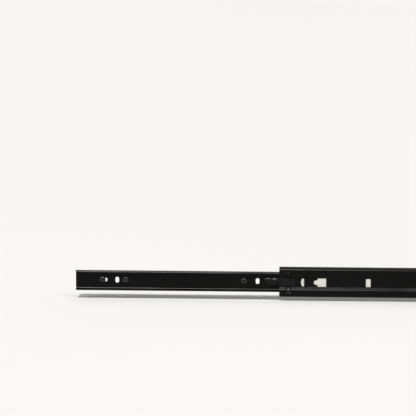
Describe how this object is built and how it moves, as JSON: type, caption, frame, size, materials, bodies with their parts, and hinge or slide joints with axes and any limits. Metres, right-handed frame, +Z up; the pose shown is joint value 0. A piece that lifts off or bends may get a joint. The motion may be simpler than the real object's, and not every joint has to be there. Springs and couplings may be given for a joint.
{
  "type": "drawer slide",
  "caption": "Side-mounted ball-bearing drawer slide with three telescoping rails, full extension and a lever that lets the drawer rail be taken off.",
  "frame": {"origin": "front end of the cabinet rail, on its centre line, in the face that lies on the cabinet side", "axes": "+X along the travel, into the cabinet, so the drawer pulls out toward -X; +Y from the cabinet side toward the drawer; +Z up"},
  "size_m": [0.906, 0.0245, 0.0454],
  "materials": {
    "coated_steel": "semi-gloss black coating",
    "zinc_plate": "pale zinc plating",
    "ball_steel": "polished",
    "black_plastic": "moulded, satin",
    "black_screw": "black oxide"
  },
  "bodies": {
    "cabinet": {"cabinet_rail": "coated_steel", "rear_bumper": "black_plastic"},
    "outer_cage": {"outer_ball_cage": "zinc_plate", "outer_ball_upper_01": "ball_steel", "outer_ball_upper_02": "ball_steel", "outer_ball_upper_03": "ball_steel", "outer_ball_upper_04": "ball_steel", "outer_ball_upper_05": "ball_steel", "outer_ball_upper_06": "ball_steel", "outer_ball_upper_07": "ball_steel", "outer_ball_upper_08": "ball_steel", "outer_ball_upper_09": "ball_steel", "outer_ball_upper_10": "ball_steel", "outer_ball_lower_01": "ball_steel", "outer_ball_lower_02": "ball_steel", "outer_ball_lower_03": "ball_steel", "outer_ball_lower_04": "ball_steel", "outer_ball_lower_05": "ball_steel", "outer_ball_lower_06": "ball_steel", "outer_ball_lower_07": "ball_steel", "outer_ball_lower_08": "ball_steel", "outer_ball_lower_09": "ball_steel", "outer_ball_lower_10": "ball_steel"},
    "intermediate": {"intermediate_rail": "coated_steel", "front_keeper": "black_plastic"},
    "inner_cage": {"inner_ball_cage": "zinc_plate", "inner_ball_upper_01": "ball_steel", "inner_ball_upper_02": "ball_steel", "inner_ball_upper_03": "ball_steel", "inner_ball_upper_04": "ball_steel", "inner_ball_upper_05": "ball_steel", "inner_ball_upper_06": "ball_steel", "inner_ball_upper_07": "ball_steel", "inner_ball_upper_08": "ball_steel", "inner_ball_upper_09": "ball_steel", "inner_ball_upper_10": "ball_steel", "inner_ball_lower_01": "ball_steel", "inner_ball_lower_02": "ball_steel", "inner_ball_lower_03": "ball_steel", "inner_ball_lower_04": "ball_steel", "inner_ball_lower_05": "ball_steel", "inner_ball_lower_06": "ball_steel", "inner_ball_lower_07": "ball_steel", "inner_ball_lower_08": "ball_steel", "inner_ball_lower_09": "ball_steel", "inner_ball_lower_10": "ball_steel"},
    "drawer": {"drawer_rail": "coated_steel", "drawer_rail_screws": "black_screw", "lever_rivet": "black_screw"},
    "lever": {"disconnect_lever": "black_plastic"}
  },
  "joints": [
    {"name": "intermediate_slide", "type": "slide", "parent": "cabinet", "child": "intermediate", "axis": [1, 0, 0], "range_m": [0, 0.21]},
    {"name": "outer_cage_slide", "type": "slide", "parent": "cabinet", "child": "outer_cage", "axis": [1, 0, 0], "range_m": [0, 0.105]},
    {"name": "drawer_slide", "type": "slide", "parent": "intermediate", "child": "drawer", "axis": [1, 0, 0], "range_m": [0, 0.246]},
    {"name": "inner_cage_slide", "type": "slide", "parent": "intermediate", "child": "inner_cage", "axis": [1, 0, 0], "range_m": [0, 0.123]},
    {"name": "lever_release", "type": "hinge", "parent": "drawer", "child": "lever", "pos_m": [-0.15, 0.0101, 0], "axis": [0, -1, 0], "range_deg": [0, 2.6], "stiffness_Nm_per_rad": 1, "springref_deg": -1.72}
  ],
  "couplings": [
    {"joint": "outer_cage_slide", "follows": "intermediate_slide", "ratio": 0.5},
    {"joint": "inner_cage_slide", "follows": "drawer_slide", "ratio": 0.5}
  ]
}
